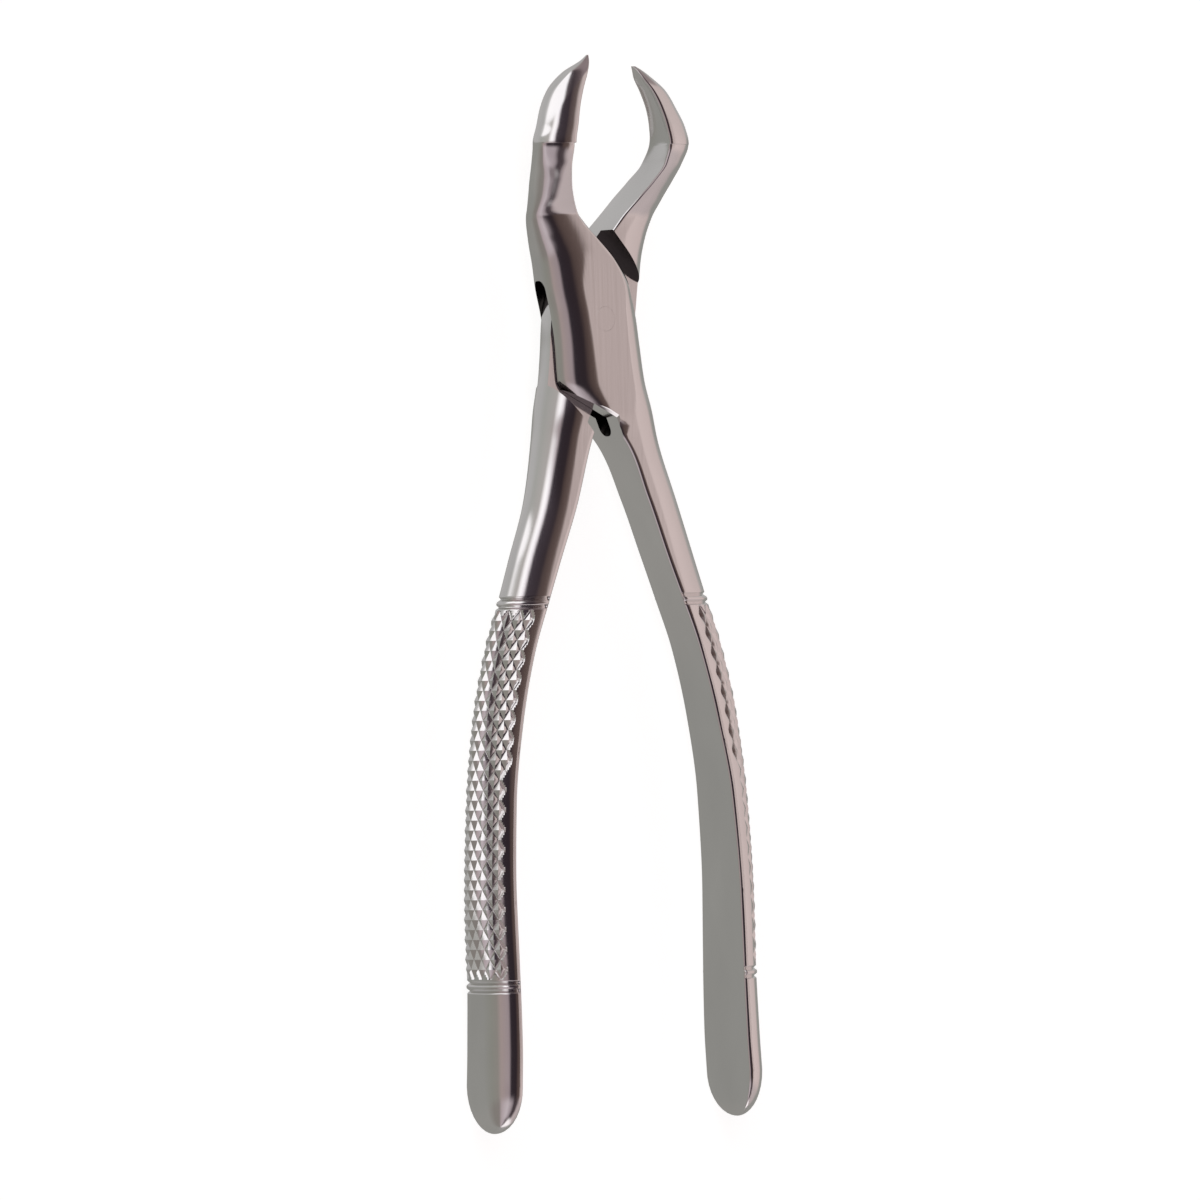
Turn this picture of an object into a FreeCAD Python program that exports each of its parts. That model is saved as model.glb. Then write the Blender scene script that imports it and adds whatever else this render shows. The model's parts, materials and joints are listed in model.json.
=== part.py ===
import FreeCAD, Part
import math
import os
from FreeCAD import Placement, Rotation, Vector

# Extraction forceps with a box joint: two forged levers and one riveted pin.
# Everything is laid out about the pin: X runs to the beak tips, Y to the side where
# the box lever's beak lies, Z along the pin to the front face. The three finished
# pieces are then moved so that the tool lies on its back with the origin under it.

SIZES = {
    # where the pin stands in the finished frame
    "pivot_forward": 44.21,
    "pivot_side": 1.45,
    "pivot_height": 5.65,
    # the pin and its holes
    "pin_radius": 2.0,
    "pin_length": 8.9,
    "tongue_bore_radius": 2.04,
    # the box: slot through one lever, tongue of the other
    "cheek_half": 4.45,
    "slot_half": 1.4,
    "tongue_half": 1.3,
    "slot_reach": 12.1,
    "slot_turn": -28.4,
    "slot_end_radius": 1.2,
    "cheek_face_back": -17.0,
    "cheek_face_front": 11.0,
    # the tongue lever's shoulders, each a plane at a distance from the pin
    "handle_shoulder_reach": 14.6,
    "handle_shoulder_turn": 133.3,
    "beak_shoulder_reach": 11.3,
    "beak_shoulder_turn": -48.2,
    "relief_overlap": 4.0,
    # the slanted end of the cheeks, over the tongue lever's handle
    "cheek_corner_x": -11.3,
    "cheek_corner_y": 7.5,
    "crotch_x": -16.0,
    "crotch_y": -2.2,
    "inner_face_x": -19.5,
    "inner_face_y": -3.7,
    # handle ends and edges
    "end_length": 7.6,
    "edge_round": 0.3,
}

# Handle stations, the same on both levers: place along X, reach of the flat inner face
# from the tool's middle, depth from there to the outer side, half width, and length of
# the flat strip beside the inner face. The pin stands to one side of that middle.
HANDLE_FIELDS = ("x", "reach", "depth", "half", "strip")
HANDLE = {
    "pommel": (-123.5, 24.1, 4.9, 5.65, 1.2),
    "palm": (-117.0, 23.8, 5.0, 5.6, 1.2),
    "ring": (-107.5, 23.7, 4.9, 5.4, 1.2),
    "grip_low": (-94.5, 23.7, 5.4, 5.05, 1.1),
    "grip_mid": (-78.0, 22.8, 5.7, 4.56, 1.1),
    "grip_high": (-65.0, 20.5, 6.6, 4.05, 1.1),
    "collar": (-53.7, 17.4, 7.0, 3.8, 1.1),
    "shank_end": (-45.6, 14.3, 7.3, 3.7, 1.4),
    "shank_low": (-39.0, 11.6, 7.6, 3.6, 1.7),
    "shank_mid": (-29.3, 7.3, 8.0, 3.65, 2.1),
}

# Stations of the joint and beaks: place along X, the two sides across the lever (the
# handle side is positive), back and front faces, and how deep each side is rounded.
BODY_FIELDS = ("x", "beak_side", "handle_side", "back", "front", "beak_round", "handle_round")
BOX_BODY = {
    "box_root": (-19.5, 3.7, 13.1, -4.05, 4.05, 0.3, 6.0),
    "box_throat": (-15.0, -3.5, 12.0, -4.45, 4.45, 2.5, 6.4),
    "box_low": (-10.0, -8.1, 10.5, -4.6, 4.6, 6.4, 6.3),
    "box_waist": (-4.0, -8.5, 9.6, -4.6, 4.6, 6.2, 6.2),
    "box_pivot": (0.5, -9.1, 8.9, -4.6, 4.6, 6.4, 5.8),
    "box_high": (4.9, -10.1, 7.4, -4.6, 4.6, 7.1, 4.0),
    "box_neck": (9.8, -10.9, 3.2, -4.4, 4.5, 7.4, 1.6),
    "neck_root": (13.2, -12.1, -0.9, -3.3, 4.4, 8.4, 0.7),
    "neck_low": (16.5, -13.2, -4.4, -1.7, 4.7, 8.0, 0.4),
    "neck_mid": (19.4, -13.5, -6.9, -0.7, 5.8, 5.5, 0.3),
    "neck_bend": (22.3, -14.3, -8.7, 0.8, 7.5, 4.5, 0.3),
    "neck_high": (25.2, -15.3, -9.7, 2.8, 9.3, 4.5, 0.3),
    "spoon_heel": (28.2, -15.9, -9.85, 4.0, 10.4, 5.0, 0.3),
    "spoon_low": (31.1, -15.0, -9.3, 4.0, 10.35, 4.7, 0.3),
    "spoon_mid": (34.0, -14.0, -8.6, 3.9, 10.1, 4.5, 0.3),
    "spoon_high": (36.9, -12.5, -7.5, 4.2, 9.7, 4.2, 0.3),
    "spoon_nose": (39.8, -9.7, -5.9, 5.1, 9.0, 3.2, 0.25),
    "spoon_tip": (41.8, -6.9, -4.9, 6.2, 8.2, 1.6, 0.2),
    "spoon_end": (42.6, -5.4, -4.55, 6.9, 7.7, 0.35, 0.15),
}
TONGUE_BODY = {
    "tongue_root": (-19.5, 3.7, 12.0, -4.05, 4.05, 0.3, 5.8),
    "tongue_throat": (-15.0, 0.9, 11.2, -4.4, 4.4, 0.3, 6.3),
    "tongue_low": (-9.8, -3.5, 10.1, -4.45, 4.45, 1.0, 6.3),
    "tongue_waist": (-4.9, -7.4, 9.5, -4.45, 4.45, 3.0, 6.0),
    "tongue_pivot": (0.0, -9.0, 9.0, -4.45, 4.45, 5.0, 5.0),
    "tongue_high": (4.9, -9.8, 7.4, -4.45, 4.45, 6.0, 3.0),
    "tongue_neck": (9.8, -10.5, 3.2, -4.2, 4.45, 6.4, 1.0),
    "jaw_root": (13.2, -11.3, -0.9, -3.2, 4.4, 6.6, 0.4),
    "jaw_low": (16.5, -12.3, -3.9, -2.1, 4.7, 5.6, 0.3),
    "jaw_mid": (19.4, -13.5, -6.4, -1.3, 5.8, 4.7, 0.3),
    "jaw_bend": (22.3, -14.4, -8.4, 0.4, 7.5, 4.5, 0.3),
    "jaw_high": (25.2, -15.0, -9.7, 2.8, 9.3, 4.3, 0.3),
    "point_heel": (28.2, -15.5, -9.85, 4.7, 10.4, 4.6, 0.3),
    "point_low": (31.1, -14.6, -9.3, 5.5, 10.3, 4.3, 0.3),
    "point_mid": (34.0, -12.9, -8.4, 5.9, 10.0, 3.9, 0.3),
    "point_high": (36.9, -10.9, -7.0, 6.1, 9.6, 3.3, 0.25),
    "point_nose": (39.0, -8.3, -5.6, 6.4, 8.9, 2.4, 0.2),
    "point_tip": (40.3, -6.3, -4.9, 6.9, 8.2, 1.1, 0.15),
    "point_end": (40.9, -5.2, -4.5, 7.2, 7.7, 0.3, 0.12),
}

END_SHARES = (0.3, 0.6, 0.8, 0.92, 0.99)  # stations over the rounded end of a handle
PALM_SHARE = 0.35                        # where its end comes together, from the inner face
FRONT_FLAT_GAP = 0.15                    # half of the flat left in a fully rounded side
HANDLE_PITCH = 2.4                       # spacing of the faired stations, by stretch
BODY_PITCH = 1.2
NOSE_PITCH = 0.6
LOFT_DEGREE = 3                          # a cubic loft, the fairest through so many outlines
NOSE_STATIONS = 4
BIG = 80.0                               # cutting tools reach well past the levers


def fill_sheet(doc):
    """Keep every driving size in one spreadsheet, one alias to a row."""
    sheet = doc.addObject("Spreadsheet::Sheet", "Sizes")
    rows = dict(SIZES)
    for table, fields in ((HANDLE, HANDLE_FIELDS), (BOX_BODY, BODY_FIELDS), (TONGUE_BODY, BODY_FIELDS)):
        for station, values in table.items():
            for field, value in zip(fields, values):
                rows[f"{station}_{field}"] = value
    for row, (alias, value) in enumerate(rows.items(), start=1):
        sheet.set(f"A{row}", alias)
        sheet.set(f"B{row}", str(value))
        sheet.setAlias(f"B{row}", alias)
    doc.recompute()
    return sheet


def bind(thing, **expressions):
    """Tie properties of an object to cells of the sheet."""
    for name, text in expressions.items():
        thing.setExpression(name.replace("__", "."), text)


def quarter(start, corner, end):
    """A quarter of an ellipse from start to end, tangent to both sides of corner."""
    curve = Part.BSplineCurve()
    curve.buildFromPolesMultsKnots([start, corner, end], [3, 3], [0, 1], False, 2,
                                   [1.0, math.sqrt(0.5), 1.0])
    return curve.toShape()


def section(x, low, high, back, front, low_round, high_round, side):
    """One closed outline across the lever: flat faces joined by elliptical corners."""
    half = (front - back) / 2
    low_rise = min(low_round, half - FRONT_FLAT_GAP)
    high_rise = min(high_round, half - FRONT_FLAT_GAP)

    def at(across, height):
        return Vector(x, side * across, height)

    edges = [
        Part.makeLine(at(low + low_round, back), at(high - high_round, back)),
        quarter(at(high - high_round, back), at(high, back), at(high, back + high_rise)),
        Part.makeLine(at(high, back + high_rise), at(high, front - high_rise)),
        quarter(at(high, front - high_rise), at(high, front), at(high - high_round, front)),
        Part.makeLine(at(high - high_round, front), at(low + low_round, front)),
        quarter(at(low + low_round, front), at(low, front), at(low, front - low_rise)),
        Part.makeLine(at(low, front - low_rise), at(low, back + low_rise)),
        quarter(at(low, back + low_rise), at(low, back), at(low + low_round, back)),
    ]
    return Part.Wire(edges)


def read_station(sheet, station, fields):
    return [float(sheet.get(f"{station}_{field}")) for field in fields]


def read_handle(sheet, station, side):
    """A handle station, with its reach taken from the pin on the lever's own side."""
    x, reach, depth, half, strip = read_station(sheet, station, HANDLE_FIELDS)
    return x, reach - side * float(sheet.get("pivot_side")), depth, half, strip


def handle_station(sheet, station, side):
    """A handle station in the same terms as the stations of the body."""
    x, reach, depth, half, strip = read_handle(sheet, station, side)
    edge = float(sheet.get("edge_round"))
    return [x, reach, reach + depth, -half, half, edge, depth - strip]


def slope(steps, number):
    """Slope at one station that never overshoots its neighbours."""
    before, after = steps[number - 1], steps[number]
    if before[1] * after[1] <= 0:
        return 0.0
    weight_before = 2 * after[0] + before[0]
    weight_after = after[0] + 2 * before[0]
    return (weight_before + weight_after) / (weight_before / before[1] + weight_after / after[1])


def slopes(xs, values):
    steps = []
    for left, right, low, high in zip(xs, xs[1:], values, values[1:]):
        steps.append((right - left, (high - low) / (right - left)))
    inner = [slope(steps, number) for number in range(1, len(steps))]
    return [steps[0][1]] + inner + [steps[-1][1]]


def blend(xs, values, tangents, x):
    """Cubic between the two stations on either side of x."""
    number = max(i for i in range(len(xs) - 1) if xs[i] <= x + 1e-9)
    span = xs[number + 1] - xs[number]
    share = (x - xs[number]) / span
    rest = 1 - share
    return (values[number] * (1 + 2 * share) * rest ** 2
            + values[number + 1] * share ** 2 * (3 - 2 * share)
            + span * share * rest * (tangents[number] * rest - tangents[number + 1] * share))


def even_stations(stations, pitches):
    """The stations of a lever faired to an even spacing, closer where it bends more."""
    xs = [station[0] for station in stations]
    columns = list(zip(*stations))[1:]
    tangents = [slopes(xs, column) for column in columns]
    places = []
    for low, high, pitch in pitches:
        count = max(1, round((high - low) / pitch))
        places += [low + (high - low) * number / count for number in range(count)]
    places.append(pitches[-1][1])
    return [[x] + [blend(xs, column, slant, x) for column, slant in zip(columns, tangents)]
            for x in places]


def handle_end_sections(sheet, side):
    """Outlines that shrink over the rounded end of a handle, last one first."""
    x, reach, depth, half, strip = read_handle(sheet, "pommel", side)
    length = float(sheet.get("end_length"))
    edge = float(sheet.get("edge_round"))
    wires = []
    for share in reversed(END_SHARES):
        size = math.sqrt(1 - share * share)
        middle = reach + PALM_SHARE * depth
        low = middle - PALM_SHARE * depth * size
        high = middle + (1 - PALM_SHARE) * depth * size
        flat = strip * size
        wires.append(section(x - length * share, low, high, -half * size, half * size, edge * size,
                             high - low - flat - edge * size, side))
    return wires


def lever_sections(sheet, table, side):
    """Outlines from the handle's rounded part up to the tip of the beak."""
    stations = [handle_station(sheet, station, side) for station in HANDLE]
    stations += [read_station(sheet, station, BODY_FIELDS) for station in table]
    root = stations[len(HANDLE)][0]
    nose = stations[-NOSE_STATIONS][0]
    pitches = [(stations[0][0], root, HANDLE_PITCH), (root, nose, BODY_PITCH),
               (nose, stations[-1][0], NOSE_PITCH)]
    return [section(*station, side) for station in even_stations(stations, pitches)]


def add_blank(doc, sheet, name, table, side):
    """A whole forged lever before its joint is cut: one smooth loft along X."""
    wires = handle_end_sections(sheet, side) + lever_sections(sheet, table, side)
    blank = doc.addObject("Part::Feature", name)
    blank.Shape = Part.makeLoft(wires, True, False, False, LOFT_DEGREE)
    return blank


def add_box(doc, name, size, corner, turn=None):
    """A box tool whose size, corner and turn about the pin are expressions."""
    box = doc.addObject("Part::Box", name)
    bind(box, Length=size[0], Width=size[1], Height=size[2])
    if turn is None:
        bind(box, Placement__Base__x=corner[0], Placement__Base__y=corner[1],
             Placement__Base__z=corner[2])
        return box
    # the corner is turned with the box, so that the tool swings about the pin
    bind(box, Placement__Rotation__Angle=turn)
    box.Placement.Rotation.Axis = Vector(0, 0, 1)
    bind(box,
         Placement__Base__x=f"({corner[0]}) * cos({turn}) - ({corner[1]}) * sin({turn})",
         Placement__Base__y=f"({corner[0]}) * sin({turn}) + ({corner[1]}) * cos({turn})",
         Placement__Base__z=corner[2])
    return box


def add_cut(doc, name, base, tool):
    cut = doc.addObject("Part::Cut", name)
    cut.Base = base
    cut.Tool = tool
    return cut


def add_cuts(doc, name, base, tools):
    """Take one tool after another off a blank; the last cut is the finished piece."""
    for number, tool in enumerate(tools[:-1], start=1):
        base = add_cut(doc, f"{name}_cut_{number}", base, tool)
    return add_cut(doc, name, base, tools[-1])


def add_fuse(doc, name, shapes):
    fuse = doc.addObject("Part::MultiFuse", name)
    fuse.Shapes = shapes
    return fuse


def add_cylinder(doc, name, radius, length, bottom):
    cylinder = doc.addObject("Part::Cylinder", name)
    bind(cylinder, Radius=radius, Height=length, Placement__Base__z=bottom)
    return cylinder


def add_slot(doc):
    """The slot through the box, with rounded ends as a milling cutter leaves them."""
    size = (f"{2 * BIG} mm", "Sizes.slot_reach * 2 mm", "Sizes.slot_half * 2 mm")
    corner = (f"-{BIG} mm", "-Sizes.slot_reach * 1 mm", "-Sizes.slot_half * 1 mm")
    slab = add_box(doc, "slot_slab", size, corner, "Sizes.slot_turn * 1 deg")
    doc.recompute()
    slot = doc.addObject("Part::Fillet", "slot")
    slot.Base = slab
    radius = float(doc.Sizes.get("slot_end_radius"))
    direction = slab.Placement.Rotation.multVec(Vector(1, 0, 0))
    chosen = []
    for number, edge in enumerate(slab.Shape.Edges, start=1):
        if abs(edge.tangentAt(edge.FirstParameter).dot(direction)) > 0.99:
            chosen.append((number, radius, radius))
    slot.Edges = chosen
    return slot


def add_cheek_end(doc, sheet):
    """What is taken off between the cheeks' slanted end and the handle's inner face."""
    def size(alias):
        return float(sheet.get(alias))

    corner = Vector(size("cheek_corner_x"), size("cheek_corner_y"), 0)
    crotch = Vector(size("crotch_x"), size("crotch_y"), 0)
    inner = Vector(size("inner_face_x"), size("inner_face_y"), 0)
    beyond = corner + (corner - crotch)
    below = inner + Vector(-2.0, 1.5, 0)
    outside = Vector(below.x, beyond.y, 0)
    outline = Part.makePolygon([crotch, beyond, outside, below, inner, crotch])
    tool = doc.addObject("Part::Feature", "cheek_end")
    tool.Shape = Part.Face(outline).extrude(Vector(0, 0, BIG))
    tool.Placement = Placement(Vector(0, 0, -BIG / 2), Rotation())
    return tool


def add_cheek_faces(doc):
    """Slabs that grind the two outer faces of the box flat and parallel."""
    span = "(Sizes.cheek_face_front - Sizes.cheek_face_back) * 1 mm"
    slabs = []
    for name, bottom in (("front_skim", "Sizes.cheek_half * 1 mm"),
                         ("back_skim", "-(Sizes.cheek_half + 5) * 1 mm")):
        slabs.append(add_box(doc, name, (span, f"{BIG} mm", "5 mm"),
                             ("Sizes.cheek_face_back * 1 mm", f"-{BIG / 2} mm", bottom)))
    return slabs


def add_reliefs(doc):
    """Slabs that leave only the tongue between the two shoulders, front and back."""
    bottoms = {"front": "Sizes.tongue_half * 1 mm", "back": f"-Sizes.tongue_half * 1 mm - {BIG} mm"}
    slabs = []
    for part in ("handle", "beak"):
        size = (f"(Sizes.{part}_shoulder_reach + Sizes.relief_overlap) * 1 mm", f"{BIG} mm", f"{BIG} mm")
        turn = f"Sizes.{part}_shoulder_turn * 1 deg"
        for face, bottom in bottoms.items():
            corner = ("-Sizes.relief_overlap * 1 mm", f"-{BIG / 2} mm", bottom)
            slabs.append(add_box(doc, f"{part}_{face}_relief", size, corner, turn))
    return add_fuse(doc, "tongue_reliefs", slabs)


def place(piece, name, height="Sizes.pivot_height"):
    """Name a finished piece and move it to where it lies in the finished frame."""
    piece.Label = name
    bind(piece, Placement__Base__x="Sizes.pivot_forward * 1 mm",
         Placement__Base__y="Sizes.pivot_side * 1 mm", Placement__Base__z=f"({height}) * 1 mm")
    return piece


def build_box_lever(doc, sheet):
    side = -1
    blank = add_blank(doc, sheet, "box_blank", BOX_BODY, side)
    bore = add_cylinder(doc, "cheek_bore", "Sizes.pin_radius * 1 mm", f"{BIG} mm", f"-{BIG / 2} mm")
    tools = [add_slot(doc), add_cheek_end(doc, sheet), bore]
    tools += add_cheek_faces(doc)
    return add_cuts(doc, "box_lever", blank, tools)


def build_tongue_lever(doc, sheet):
    side = 1
    blank = add_blank(doc, sheet, "tongue_blank", TONGUE_BODY, side)
    bore = add_cylinder(doc, "tongue_bore", "Sizes.tongue_bore_radius * 1 mm", f"{BIG} mm",
                        f"-{BIG / 2} mm")
    tools = [add_reliefs(doc), bore]
    return add_cuts(doc, "tongue_lever", blank, tools)


def build_pivot_pin(doc):
    return add_cylinder(doc, "pivot_pin", "Sizes.pin_radius * 1 mm", "Sizes.pin_length * 1 mm", "0 mm")


def check(doc, pieces):
    """Stop if any object failed or any finished piece is not one sound solid."""
    for thing in doc.Objects:
        if "Invalid" in thing.State or "Error" in thing.State:
            raise RuntimeError(f"{thing.Name} failed: {thing.State}")
    for piece in pieces:
        shape = piece.Shape
        if shape.isNull() or not shape.isValid() or len(shape.Solids) != 1:
            raise RuntimeError(f"{piece.Label} is not one valid solid: {len(shape.Solids)}")


def main():
    doc = FreeCAD.newDocument("extraction_forceps")
    sheet = fill_sheet(doc)
    box_lever = place(build_box_lever(doc, sheet), "box_lever")
    tongue_lever = place(build_tongue_lever(doc, sheet), "tongue_lever")
    pivot_pin = place(build_pivot_pin(doc), "pivot_pin", "Sizes.pivot_height - Sizes.pin_length / 2")
    doc.recompute()
    pieces = (box_lever, tongue_lever, pivot_pin)
    check(doc, pieces)
    os.makedirs("parts", exist_ok=True)
    for piece in pieces:
        piece.Shape.exportStep(f"parts/{piece.Label}.step")
        box = piece.Shape.BoundBox
        print(f"{piece.Label}: volume {piece.Shape.Volume:.1f} mm3, x {box.XMin:.2f} to {box.XMax:.2f}, "
              f"y {box.YMin:.2f} to {box.YMax:.2f}, z {box.ZMin:.2f} to {box.ZMax:.2f}")


main()
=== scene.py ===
import json
import math

import bmesh
import bpy
import numpy as np
from mathutils import Matrix, Vector


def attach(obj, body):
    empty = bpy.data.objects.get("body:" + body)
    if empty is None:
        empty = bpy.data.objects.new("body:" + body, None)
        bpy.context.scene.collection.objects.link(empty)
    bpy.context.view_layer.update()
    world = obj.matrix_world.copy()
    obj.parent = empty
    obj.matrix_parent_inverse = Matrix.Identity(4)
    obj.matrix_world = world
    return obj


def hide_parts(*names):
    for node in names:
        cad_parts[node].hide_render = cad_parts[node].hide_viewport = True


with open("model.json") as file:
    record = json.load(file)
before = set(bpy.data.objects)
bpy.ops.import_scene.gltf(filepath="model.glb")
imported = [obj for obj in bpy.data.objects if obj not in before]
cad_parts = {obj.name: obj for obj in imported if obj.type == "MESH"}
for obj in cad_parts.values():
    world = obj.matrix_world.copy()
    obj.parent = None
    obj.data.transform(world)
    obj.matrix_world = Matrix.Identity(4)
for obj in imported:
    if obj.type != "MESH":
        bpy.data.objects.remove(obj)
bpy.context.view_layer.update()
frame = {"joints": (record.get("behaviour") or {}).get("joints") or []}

MM = 0.001
PIVOT = Vector(frame["joints"][0]["pos_m"])
PIVOT_SIDE = PIVOT.y / MM              # the pin stands this far to one side of the tool's middle

# ---------------------------------------------------------------- sizes, in millimetres
# Everything is laid out about the pin: X to the beak tips, Z along the pin to the front.
HANDLE = [   # place along X, reach of the inner face, depth, half width, front strip
    (-123.5, 24.1, 4.9, 5.65, 0.6), (-117.0, 23.8, 5.0, 5.6, 0.5), (-107.5, 23.7, 4.9, 5.4, 0.45),
    (-94.5, 23.7, 5.4, 5.05, 0.45), (-78.0, 22.8, 5.7, 4.56, 0.45), (-65.0, 20.5, 6.6, 4.05, 0.45),
    (-53.7, 17.4, 7.0, 3.8, 0.5), (-45.6, 14.1, 7.3, 3.7, 0.9), (-39.0, 11.3, 7.7, 3.6, 1.4),
    (-29.3, 7.3, 8.1, 3.65, 2.1),
]
# place along X, beak side, handle side, back, front, and how deep each side is rounded
BOX_BODY = [
    (-19.5, 3.7, 13.1, -4.05, 4.05, 0.3, 6.0), (-15.0, -3.5, 12.0, -4.45, 4.45, 4.5, 6.4),
    (-10.0, -8.1, 10.5, -4.6, 4.6, 9.8, 6.3), (-4.0, -8.5, 9.6, -4.6, 4.6, 9.2, 6.2),
    (0.5, -9.1, 8.9, -4.6, 4.6, 9.0, 5.8), (4.9, -10.1, 7.4, -4.6, 4.6, 9.1, 4.0),
    (9.8, -10.9, 3.2, -4.4, 4.5, 9.3, 1.6), (13.2, -12.1, -0.9, -3.3, 4.45, 9.2, 0.7),
    (16.9, -13.25, -4.8, -1.5, 4.47, 7.9, 0.4), (17.6, -13.3, -5.4, -1.2, 4.75, 7.3, 0.35),
    (19.4, -13.5, -6.9, -0.7, 5.85, 6.2, 0.3),
    (22.3, -14.3, -8.7, 0.8, 7.6, 5.4, 0.3), (25.2, -15.3, -9.7, 2.8, 9.3, 5.0, 0.3),
    (28.2, -15.9, -9.85, 4.0, 10.4, 5.0, 0.3), (31.1, -15.0, -9.3, 4.0, 10.35, 4.7, 0.3),
    (34.0, -14.0, -8.6, 3.9, 10.1, 4.5, 0.3), (36.9, -12.5, -7.5, 4.2, 9.7, 4.2, 0.3),
    (39.8, -9.5, -5.9, 5.2, 9.0, 3.2, 0.25), (41.8, -6.0, -4.8, 6.9, 8.0, 1.0, 0.2),
    (42.6, -4.95, -4.6, 7.2, 7.55, 0.25, 0.12),
]
TONGUE_BODY = [
    (-19.5, 2.9, 11.9, -4.05, 4.05, 0.3, 5.9), (-15.0, 0.9, 11.2, -4.4, 4.4, 0.3, 6.3),
    (-9.8, -3.5, 10.1, -4.45, 4.45, 1.0, 6.3), (-4.9, -7.4, 9.5, -4.45, 4.45, 3.0, 6.0),
    (0.0, -9.0, 9.0, -4.45, 4.45, 5.0, 5.0), (4.9, -9.8, 7.4, -4.45, 4.45, 6.0, 3.0),
    (9.8, -10.5, 3.2, -4.2, 4.45, 6.4, 1.0), (13.2, -11.3, -0.9, -3.2, 4.4, 6.6, 0.4),
    (16.5, -12.3, -3.9, -2.1, 4.7, 5.6, 0.3), (19.4, -13.5, -6.4, -1.3, 5.8, 4.7, 0.3),
    (22.3, -14.4, -8.4, 0.4, 7.5, 4.5, 0.3), (25.2, -15.0, -9.7, 2.8, 9.3, 4.3, 0.3),
    (28.2, -15.5, -9.85, 4.7, 10.4, 4.6, 0.3), (31.1, -14.6, -9.3, 5.5, 10.3, 4.3, 0.3),
    (34.0, -12.9, -8.4, 5.9, 10.0, 3.9, 0.3), (36.9, -10.9, -7.0, 6.1, 9.6, 3.3, 0.25),
    (39.0, -8.3, -5.6, 6.4, 8.9, 2.4, 0.2), (40.3, -6.3, -4.9, 6.9, 8.2, 1.1, 0.15),
    (40.9, -5.2, -4.5, 7.2, 7.7, 0.3, 0.12),
]
EDGE_ROUND = 0.3
END_LENGTH = 7.6                       # the handle's rounded end
PALM_SHARE = 0.35                      # where that end comes together, from the inner face
FLAT_GAP = 0.15                        # half of the flat left in a fully rounded side
FLAT_GAP_SHARE = 0.3                   # the most of the half thickness that this may be
SHANK_TOP = (-18.0, -15.5)             # where the handle's bevels fade out into the joint
NECK_ROOT = (13.0, 16.0)               # and where the beak's begin
INNER_BEVEL, INNER_BEVEL_RISE = 0.85, 0.4      # the polished edge beside a handle's inner face
BEAK_BEVEL, BEAK_BEVEL_RISE = 2.0, 0.55        # and beside the gripping face of a beak
ROUND, BOX_SQUARER = 2.0, 0.7          # power of a round corner, and how much squarer the box is
BOX_SQUARE_FROM, BOX_SQUARE_TO = (-17, -10), (18, 24)
CHEEK_HALF, SLOT_HALF, TONGUE_HALF = 4.45, 1.4, 1.3
CHEEK_SPAN = (-17.0, 11.0)
CHEEK_BEVEL = 0.45                     # bevel of the cheeks' slanted end
SLOT_REACH, SLOT_TURN, SLOT_END = 12.1, -28.4, 1.2
SLOT_CORNER_STEPS, SLOT_CORNER_STEP = 7, 15    # points round each of its corners, degrees apart
SHOULDERS = ((14.6, 133.3), (11.3, -48.2))     # how far out each is, and which way it faces
CHEEK_CORNER, CROTCH, INNER = (-11.3, 7.5), (-16.0, -2.2), (-19.5, -3.7)
PIN_RADIUS, TONGUE_BORE = 2.0, 2.04
PIN_CHAMFER, PIN_PLAY = 0.02, 0.002    # a hair off its ends and its side, to part it from the bore
ROUND_SIDES, BORE_HALF = 96, 9         # faces round the pin and bores; the bores' half length
SPLIT = -45.75                         # where the shank ends and the finely meshed grip begins
RINGS_END = -108.6                     # where the detail of the grip ends and the pommel begins
GROOVES = ((-45.1, -46.4), (-106.7, -108.0))
GROOVE_HALF, GROOVE_DEPTH = 0.38, 0.42
RIDGE_HALF, RIDGE_HEIGHT = 0.6, 0.35   # the ridge between two grooves; height as a share of depth
GROOVE_FADE = (-0.7, -0.2)             # how far round to the inner face the grooves run out
DIAMOND_LENGTH, DIAMOND_WIDTH = 3.2, 1.9
DIAMOND_CELLS = 8                      # mesh cells along and across one diamond
KNURL_TOP, KNURL_ROWS = -46.9, 148     # the knurling runs down from here by so many cells
KNURL_DEPTH, KNURL_PROUD = 0.57, 0.4   # its depth, and the share of it above the steel
KNURL_STEEPER = 1.1                    # its sides reach the top a little before the middle
KNURL_MARGIN = 1.25                    # smooth steel left beside the front and back flats
WORN, WORN_FADE = 0.5, (-1.0, 2.0)     # what is left of the box lever's knurling in front
HEEL = 28.2                            # where the neck meets the spoon
LEDGE_RUN = 6                          # the neck falls to the ledge over this length
LEDGE_EDGE = (-2.2, -0.6)              # how far below the front the ledge fades out
SPOON_RUN = 3                          # the hollow begins and ends this far each side of the heel
SPOON_NOSE = (4, 0.3)                  # and fades between these distances from the tip
SPOON_RIM = 0.8                        # steel left flat beside the hollow
SPOON_FACING = 0.95                    # only what faces the other beak this squarely is hollowed
BEYOND, FAR = 30, 60                   # cutters run past the steel by this much or more

# how many faces each stretch of an outline has: back flat, outer side (smooth, knurled,
# smooth), front flat, inner corner, inner flat, inner corner
BACK_FLAT, SMOOTH, KNURLED, FRONT_FLAT, INNER_CORNER, INNER_FLAT = 6, 18, 56, 6, 32, 10
ARC_SAMPLES = 160                      # points that measure each half of the outer side

BOX_SIDE, TONGUE_SIDE = -1, 1          # which way across the tool each lever's beak side faces
# slot 1 holds the near-black joint steel: painted shade on the walls of the slot, bore and reliefs,
# with some residue
POLISHED_SLOT, SHADE_AND_RESIDUE_SLOT = 0, 1
SHARP_ANGLE = 28                       # degrees: edges sharper than this stay crisp
WELD = 2e-6                            # metres


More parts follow.
